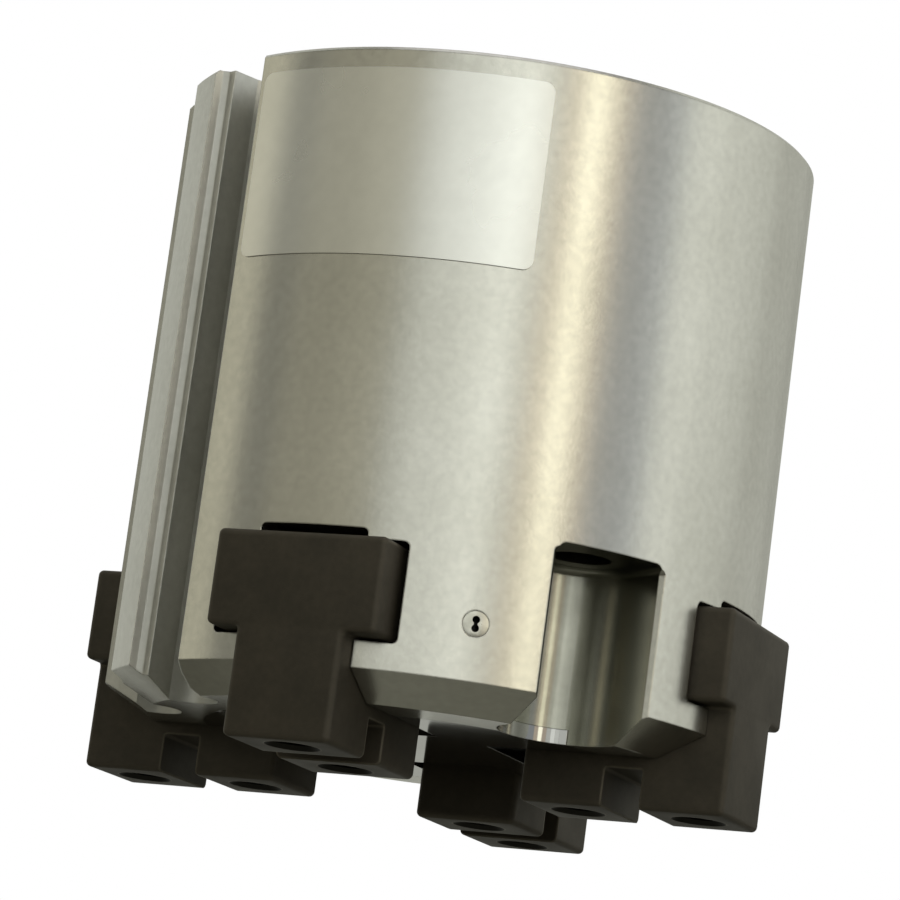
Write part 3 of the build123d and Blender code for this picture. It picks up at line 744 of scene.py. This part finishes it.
    def switch_slot(self, side: int) -> Shape:
        """One slot beside the rib: a stepped shoulder, a round channel and a mouth that flares away from it.

        Args:
            side: +1 or -1, the side of the rib.

        Returns:
            A bar to cut away, its section drawn as (outwards, along the side).
        """
        r, x, y = self.slot_radius, self.slot_centre, self.slot_side
        rib = rounded([*self.rib_corners, (self.rib_foot, y - r, 0)])
        lip = rounded([(x + self.lip_foot, y + r, 0), *self.lip_corners])
        section = np.concatenate([rib, arc((x, y), r, -90, -270, 40), lip]) * (1, side)
        if side < 0:
            section = section[::-1]
        return bar(section, [(self.below, 0.0), (OVERRUN, 0.0)])

    def port(self, z: float) -> Shape:
        """Tapped port, its flat spot face and the passage to the cylinder, carried outwards along +X."""
        tapped, spot = self.port_passage - self.port_tap, self.port_passage - self.port_spot
        levels = [
            (self.bore_radius - OVERRUN, 0.0), (self.port_floor, 0.0),
            *self.port_thread.levels(self.port_floor, tapped),
            (self.port_face - self.port_break, tapped), (self.port_face, tapped - self.port_break),
            (self.port_face, spot), (self.beyond, spot),
        ]
        return bar(circle(self.port_passage, 0.0, z, 48), levels, OUTWARD)

    def small_holes(self) -> list[Shape]:
        """Holes for the end plate's screws and the side pin, in their places."""
        screw = bar(circle(self.screw_radius, self.screw_circle, segments=32),
                    [(self.below, 0.0), (self.screw_top, 0.0)])
        pin = bar(circle(self.pin.radius + self.pin_room, 0.0, self.pin.z, 48),
                  [(self.pin.inner_end, 0.0), (self.beyond, 0.0)], OUTWARD)
        return [screw.turned(angle) for angle in self.screw_angles] + [pin.turned(self.pin.angle)]

    def build(self) -> bpy.types.Object:
        """Turn the blank, cut everything out of it and dress it."""
        blank = scene_object("housing_shell", lathe(self.profile(), self.segments), ANODISED)
        steps = [Step(self.guide().turned(angle)) for angle in (0, 90, 180, 270)]
        for angle in (self.mount_angle, self.mount_angle + 180):
            # The counterbores and their screw holes get the finish with painted shade
            steps += [Step(shape.turned(angle), finish=COUNTERBORE_SHADE) for shape in self.mounting()]
            steps.append(Step(self.mount_flare().turned(angle)))
        steps += [Step(self.switch_slot(side).turned(self.slot_angle), finish=EXTRUDED) for side in (1, -1)]
        steps += [Step(self.port(z).turned(self.port_angle)) for z in self.port_levels]
        steps += [Step(hole) for hole in self.small_holes()]
        combined(blank, steps)
        return dressed(blank, Body.HOUSING, ["body"])


@dataclass
class LabelFilm:
    """The bare silver film wrapped on the housing between two angles and two levels."""

    radius: float = 18.0
    thickness: float = 0.08
    sunk: float = 0.02
    start: float = -23.6
    stop: float = 31.4
    top: float = -1.2
    bottom: float = -11.6
    corner: float = 0.6
    columns: int = 120
    rows: int = 8

    def build(self) -> bpy.types.Object:
        """A closed shell over (u, v): u runs round the housing and v up it.

        The half height at a place x from the film's middle is the film's half height less the corner's
        radius, plus the corner circle's height there.
        """
        half_width = np.radians(self.stop - self.start) * self.radius / 2
        half_height = (self.top - self.bottom) / 2
        x = -np.cos(np.linspace(0, np.pi, self.columns + 1)) * half_width
        into = np.maximum(0.0, np.abs(x) - (half_width - self.corner))
        height = half_height - self.corner + np.sqrt(np.maximum(0.0, self.corner**2 - into**2))
        v = np.linspace(-1, 1, self.rows + 1)
        angle = np.radians((self.start + self.stop) / 2 - 90) + x / self.radius
        z = (self.top + self.bottom) / 2 + np.outer(height, v)
        sheets = []
        for r in (self.radius - self.sunk, self.radius + self.thickness):
            ring = np.stack([r * np.cos(angle), r * np.sin(angle)], 1)
            sheets.append(np.concatenate([np.repeat(ring[:, None], self.rows + 1, 1), z[..., None]], -1))
        points = np.stack(sheets).reshape(-1, 3)
        made = scene_object("label_sheet", Shape(points, self.faces()), LABEL_FILM)
        return dressed(made, Body.HOUSING, ["label_film"], sharp=40)

    def faces(self) -> list[tuple[int, ...]]:
        """Quads of the inner and outer sheet, and of the rim that joins them."""
        across = self.rows + 1
        sheet = (self.columns + 1) * across
        i, j = np.meshgrid(np.arange(self.columns), np.arange(self.rows), indexing="ij")
        first = (i * across + j).ravel()
        quad = np.stack([first, first + across, first + across + 1, first + 1], 1)
        outer = quad + sheet
        inner = quad[:, ::-1]
        left = np.arange(self.rows)
        right = left + self.columns * across
        low = np.arange(self.columns) * across
        high = low + self.rows
        rims = []
        for a, b in ((left + 1, left), (right, right + 1), (low, low + across), (high + across, high)):
            rims.append(np.stack([a, b, b + sheet, a + sheet], 1))
        return [tuple(f) for f in np.concatenate([outer, inner, *rims]).tolist()]


@dataclass(frozen=True)
class Tongue:
    """One step of the part of a finger that runs in the cam: a strip along the inclined face.

    Args:
        near: Where it starts, measured outwards from the face.
        far: Where it ends.
        width: Its width.
    """

    near: float
    far: float
    width: float


@dataclass
class Finger:
    """One finger: T head in its guide, stem with two drilled end blocks, tongue in the cam's slot.

    Args:
        number: 1 to 4. Finger 1 points to -Y, finger 2 to +X.
    """

    number: int
    outside: float = 19.2
    inside: float = 7.4
    head: float = 9.75
    stem: float = 6.1
    head_top: float = -27.0
    head_bottom: float = -32.15
    tip: float = -38.0
    edge: float = 0.3
    side_edge: float = 0.32
    neck_corner: float = 0.2

    # Inclined inner face
    face_end: float = -32.5
    slope: float = 0.5
    core: float = 5.0

    # End blocks, the notch between them, and an M3 hole in each
    block: float = 4.8
    notch: float = 2.15
    notch_corner: float = 0.15
    hole: float = 1.25
    hole_sink: float = 0.25
    hole_thread: Thread = Thread(pitch=0.5, depth=0.22, turns=10)

    # Neck and tee in the cam's slot
    tongue_bottom: float = -33.0
    tongues: tuple[Tongue, Tongue] = (Tongue(-1.05, 0.5, 2.6), Tongue(-2.2, -1.0, 4.8))

    @property
    def angle(self) -> float:
        """Where the finger points: a quarter turn from one finger to the next."""
        return 90.0 * (self.number - 1)

    def face(self, z: float) -> float:
        """Radius of the inclined inner face at height z."""
        return self.inside + (z - self.face_end) * self.slope

    def blank(self) -> Shape:
        """T-shaped outline carried outwards, rounded over at both ends."""
        w, s, r, neck = self.head / 2, self.stem / 2, self.side_edge, self.neck_corner
        outline = rounded([
            (-s, self.tip, r), (s, self.tip, r), (s, self.head_bottom, neck), (w, self.head_bottom, r),
            (w, self.head_top, r), (-w, self.head_top, r), (-w, self.head_bottom, r),
            (-s, self.head_bottom, neck),
        ])
        return bar(outline, rounded_ends(self.inside, self.outside, self.edge, self.edge), OUTWARD)

    def cuts(self) -> list[Step]:
        """What is milled and drilled away: the inclined face, the notch and two tapped holes."""
        top, end = self.head_top + OVERRUN, self.face_end
        wedge = np.array([(self.core, end), (self.face(end), end), (self.face(top), top), (self.core, top)])
        inner, outer = self.inside + self.block, self.outside - self.block
        open_end, floor = self.tip - OVERRUN, self.tip + self.notch
        gap = rounded([(inner, open_end, 0), (outer, open_end, 0),
                       (outer, floor, self.notch_corner), (inner, floor, self.notch_corner)])
        half = self.head / 2 + OVERRUN
        made = [Step(bar(outline, [(-half, 0.0), (half, 0.0)], ACROSS).turned(self.angle))
                for outline in (wedge, gap)]
        sink = [(open_end, -self.hole_sink - OVERRUN), (self.tip, -self.hole_sink)]
        drill = sink + self.hole_thread.levels(self.tip + self.hole_sink)
        for x in (self.outside - self.block / 2, self.inside + self.block / 2):
            # The hole's faces get near-black painted shade
            made.append(Step(bar(circle(self.hole, x), drill).turned(self.angle), finish=HOLE_SHADE))
        return made

    def tongue(self, step: Tongue) -> Shape:
        """A strip that follows the inclined face from the tongue's bottom to the head's top."""
        low, high = self.tongue_bottom, self.head_top
        outline = np.array([(self.face(low) + step.near, low), (self.face(low) + step.far, low),
                            (self.face(high) + step.far, high), (self.face(high) + step.near, high)])
        return bar(outline, [(-step.width / 2, 0.0), (step.width / 2, 0.0)], ACROSS)

    def build(self) -> bpy.types.Object:
        """Turn the blank to its place, cut it and add the tongue."""
        made = scene_object(f"jaw_{self.number}", self.blank().turned(self.angle), FINGER_STEEL)
        added = [Step(self.tongue(step).turned(self.angle), Cut.TOGETHER) for step in self.tongues]
        combined(made, self.cuts() + added)
        body = Body(f"finger_{self.number}_body")
        return dressed(made, body, [f"finger_{self.number}"])


@dataclass
class CarriedOver:
    """Nodes of the frame that keep their own mesh and get a finish and smooth round faces."""

    finishes: dict[str, Finish] = field(default_factory=lambda: {
        "cap": ANODISED, "end_plate": BRIGHT, "plate_screws": STAINLESS, "cap_gasket": NITRILE,
        "piston_seal": NITRILE, "rod_seal": NITRILE, "rod_gasket": NITRILE, "bumper": URETHANE,
        "low_bumper": URETHANE, "snap_ring": BLACK_OXIDE, "piston": TURNED, "magnet_ring": MAGNET,
        "rod": HARD_STEEL, "piston_screw": BLACK_OXIDE, "cam_screw": BLACK_OXIDE, "cam": HARD_STEEL,
    })
    weld: float = 0.001
    sharp: float = 32.0

    def build(self, nodes: dict[str, bpy.types.Object]) -> None:
        """Dress every node that is named here."""
        for name, finish in self.finishes.items():
            node = nodes[name]
            node.data.materials.clear()
            node.data.materials.append(finish.material())
            node.data.shade_smooth()
            weld = node.modifiers.new("weld", "WELD")
            weld.merge_threshold = self.weld * MM
            split = node.modifiers.new("edges", "EDGE_SPLIT")
            split.split_angle = np.radians(self.sharp)
            LOG.info("%s keeps its mesh: %s", name, finish.name)


# The studio


def lamp(name: str, width: float, height: float, radiance: float, tint: Tint) -> bpy.types.Object:
    """A flat area light that shines towards its own -Z and that the camera doesn't see.

    A flat light of power P and area A has the radiance P / (pi A).

    Args:
        name: Its name.
        width: Its width in metres.
        height: Its height in metres.
        radiance: Brightness of its face.
        tint: Its colour.

    Returns:
        The light, at the origin.
    """
    data = bpy.data.lights.new(name, "AREA")
    data.shape = "RECTANGLE"
    data.size = width
    data.size_y = height
    data.energy = radiance * np.pi * width * height
    data.color = colour(tint.value)[:3]
    made = bpy.data.objects.new(name, data)
    made.visible_camera = False
    bpy.context.scene.collection.objects.link(made)
    return made


@dataclass(frozen=True)
class Strip:
    """One upright strip of the bank of lights that stands round the gripper.

    Args:
        start: Angle of its left edge, from the camera's side towards the right of the picture, in degrees.
        stop: Angle of its right edge.
        radiance: Brightness of its face.
        tint: Colour of its lamp.
        low: Elevation of its lower edge, seen from the gripper, in degrees.
        high: Elevation of its upper edge.
    """

    start: float
    stop: float
    radiance: float
    tint: Tint = Tint.NEUTRAL
    low: float = -2.0
    high: float = 38.0

    def build(self, zero: float, distance: float, middle: Vector) -> None:
        """Stand the strip where it fills its angles: a width is 2 distance tan(half its angle).

        Args:
            zero: Bearing of the camera, counted from -Y towards +X, in degrees.
            distance: Distance from the gripper's middle in metres.
            middle: The gripper's middle in metres, which it faces.
        """
        width = 2 * distance * np.tan(np.radians(self.stop - self.start) / 2)
        height = 2 * distance * np.tan(np.radians(self.high - self.low) / 2)
        bearing = np.radians(zero + (self.start + self.stop) / 2)
        elevation = np.radians((self.low + self.high) / 2)
        away = Vector((np.sin(bearing) * np.cos(elevation), -np.cos(bearing) * np.cos(elevation),
                       np.sin(elevation)))
        made = lamp(f"strip_{self.start:.0f}", width, height, self.radiance, self.tint)
        made.location = away * distance + middle
        made.rotation_mode = "QUATERNION"
        made.rotation_quaternion = (-away).to_track_quat("-Z", "Y")


@dataclass
class Studio:
    """Camera, lights, backdrop and floor."""

    camera_mm: tuple[float, float, float] = (96.78, -223.43, -67.52)
    aim_mm: tuple[float, float, float] = (-0.48, -0.40, -18.14)
    roll: float = -7.608
    lens: float = 175.79
    sensor: float = 36.0
    clip_m: tuple[float, float] = (0.01, 20.0)

    # Strips that give the bright and dark bands on the round body, and a soft lamp above for the rim
    strips: tuple[Strip, ...] = (
        Strip(-164, -116, 0.39, low=-26, high=60),
        Strip(-116, -100, 0.21, Tint.WARM),
        Strip(-100, -84, 0.48, Tint.WARM),
        Strip(-84, -68, 0.11),
        Strip(-68, -44, 0.22, Tint.WARM),
        Strip(-44, -28, 0.29, Tint.WARM),
        Strip(-28, -20, 0.46),
        Strip(-20, -4, 0.70),
        Strip(-4, 4, 0.84),
        Strip(4, 12, 1.12),
        Strip(12, 20, 0.66),
        Strip(20, 28, 0.55, Tint.AMBER),
        Strip(28, 36, 1.90, Tint.WARM),
        Strip(36, 44, 0.60, Tint.AMBER),
        Strip(44, 60, 0.32, Tint.COOL),
        Strip(60, 68, 0.44, Tint.COOL),
        Strip(68, 84, 0.78),
        Strip(84, 100, 0.62),
        Strip(100, 116, 0.54),
        Strip(116, 148, 0.40, high=60),
        Strip(148, 164, 0.30, low=-26, high=60),
        Strip(164, 196, 0.34, low=-26, high=60),
    )
    strip_distance: float = 0.5
    strip_middle_mm: float = -18.0
    overhead_side: float = 0.5
    overhead_radiance: float = 0.7
    overhead_height: float = 0.6

    # A dim warm room for what the metal mirrors, and a wide pale floor well below
    room: str = "#7f7d6f"
    room_strength: float = 0.5
    floor_z: float = -0.7
    floor_reach: float = 3.0
    floor_base: str = "#bdbdb5"
    floor_seen: str = "#f7f7f5"
    floor_roughness: float = 0.8

    def camera(self) -> None:
        """Place the camera, aim it and roll it about its own line of sight."""
        data = bpy.data.cameras.new("camera")
        data.lens = self.lens
        data.sensor_width = self.sensor
        data.clip_start, data.clip_end = self.clip_m
        made = bpy.data.objects.new("camera", data)
        bpy.context.scene.collection.objects.link(made)
        place = Vector(self.camera_mm) * MM
        level = (Vector(self.aim_mm) * MM - place).to_track_quat("-Z", "Y")
        roll = Matrix.Rotation(np.radians(-self.roll), 4, "Z").to_quaternion()
        made.rotation_mode = "QUATERNION"
        made.rotation_quaternion = level @ roll
        made.location = place
        bpy.context.scene.camera = made

    def lights(self) -> None:
        """The bank of strips, counted from the camera's bearing, and the lamp above."""
        zero = np.degrees(np.arctan2(self.camera_mm[0], -self.camera_mm[1]))
        middle = Vector((0.0, 0.0, self.strip_middle_mm * MM))
        for strip in self.strips:
            strip.build(zero, self.strip_distance, middle)
        side = self.overhead_side
        overhead = lamp("overhead", side, side, self.overhead_radiance, Tint.WHITE)
        overhead.location = (0.0, 0.0, self.overhead_height)

    def surroundings(self) -> None:
        """White behind the gripper, and a dim warm room for what it reflects."""
        world = bpy.data.worlds.new("studio")
        world.use_nodes = True
        tree = world.node_tree
        tree.nodes.clear()
        seen = add_node(tree, "ShaderNodeLightPath").outputs["Is Camera Ray"]
        room = add_node(tree, "ShaderNodeBackground",
                        {"Color": colour(self.room), "Strength": self.room_strength})
        white = add_node(tree, "ShaderNodeBackground", {"Color": colour("#ffffff"), "Strength": 1.0})
        mixed = add_node(tree, "ShaderNodeMixShader", links={
            "#0": seen, "#1": room.outputs["Background"], "#2": white.outputs["Background"]})
        add_node(tree, "ShaderNodeOutputWorld", links={"Surface": mixed.outputs["Shader"]})
        bpy.context.scene.world = world
        bpy.context.scene.view_settings.view_transform = "Standard"

    def floor(self) -> None:
        """A wide floor, evenly pale where it is looked at, and duller in what it throws on the gripper."""
        mesh = bpy.data.meshes.new("floor")
        corners = [(-1, -1), (1, -1), (1, 1), (-1, 1)]
        reach = self.floor_reach
        mesh.from_pydata([(x * reach, y * reach, self.floor_z) for x, y in corners], [], [(0, 1, 2, 3)])
        made = bpy.data.objects.new("floor", mesh)
        bpy.context.scene.collection.objects.link(made)
        pale = bpy.data.materials.new("pale_floor")
        pale.use_nodes = True
        tree = pale.node_tree
        shader = tree.nodes["Principled BSDF"]
        shader.inputs["Base Color"].default_value = colour(self.floor_base)
        shader.inputs["Roughness"].default_value = self.floor_roughness
        seen = add_node(tree, "ShaderNodeLightPath").outputs["Is Camera Ray"]
        even = add_node(tree, "ShaderNodeEmission", {"Color": colour(self.floor_seen)})
        mixed = add_node(tree, "ShaderNodeMixShader", links={
            "#0": seen, "#1": shader.outputs["BSDF"], "#2": even.outputs["Emission"]})
        tree.links.new(mixed.outputs["Shader"], tree.nodes["Material Output"].inputs["Surface"])
        mesh.materials.append(pale)

    def build(self) -> None:
        """Set up everything that isn't the gripper."""
        self.camera()
        self.lights()
        self.surroundings()
        self.floor()


def main() -> None:
    """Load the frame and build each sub-assembly in order."""
    logging.basicConfig(level=logging.INFO, format="%(name)s %(message)s")
    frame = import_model()
    pin = SidePin()
    Housing(pin).build()
    LabelFilm().build()
    pin.build()
    for number in (1, 2, 3, 4):
        Finger(number).build()
    CarriedOver().build(frame["nodes"])
    Studio().build()


if __name__ == "__main__":
    main()
